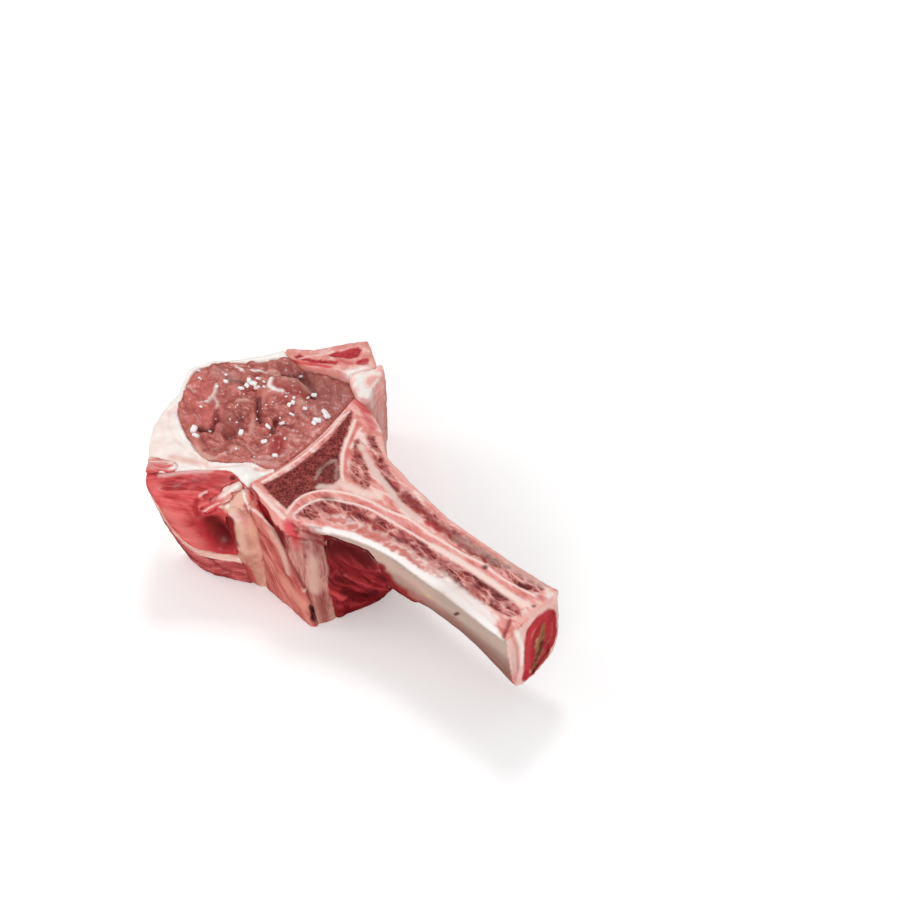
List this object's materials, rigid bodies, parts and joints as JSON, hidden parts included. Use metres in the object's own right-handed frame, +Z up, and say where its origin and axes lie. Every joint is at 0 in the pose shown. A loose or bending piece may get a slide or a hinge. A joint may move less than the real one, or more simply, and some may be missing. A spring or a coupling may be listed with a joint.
{
  "type": "lamb cutlet",
  "caption": "Raw lamb rib chop lying sawn face up: round eye muscle with coarse salt, fat cap, flap, split vertebra, feather bone and a long bared rib.",
  "frame": {"origin": "middle of the bounding box at the flat underside", "axes": "+Z up out of the sawn face, +X along the rib towards its sawn end, +Y towards the feather bone"},
  "size_m": [0.1479, 0.0881, 0.0405],
  "materials": {
    "lean_meat": "wet, pinkish red, fine grained",
    "dark_meat": "wet, dark maroon",
    "fat": "soft sheen, creamy white to pale pink",
    "sinew": "moist, pale pink membrane",
    "bone": "sawn, cream to rosy beige, satin",
    "spongy_bone": "porous, brown red",
    "marrow": "moist, red to brown"
  },
  "bodies": {
    "root": {"eye_muscle": "lean_meat", "strip_muscle": "lean_meat", "flap_muscle": "lean_meat", "flap_lower_muscle": "lean_meat", "slit_meat": "dark_meat", "intercostal_meat": "dark_meat", "fat_cap": "fat", "flap_fat": "fat", "fat_slab": "fat", "feather_fat": "fat", "tendon_band": "sinew", "lamella": "sinew", "bone": "bone", "feather_bone": "bone", "chine_column": "bone", "body_marrow": "spongy_bone", "mid_marrow": "spongy_bone", "near_marrow": "spongy_bone", "far_marrow": "spongy_bone", "end_marrow": "marrow", "end_core": "marrow", "feather_marrow_line": "marrow", "feather_marrow_wide": "marrow", "feather_marrow_small": "marrow"}
  },
  "joints": []
}
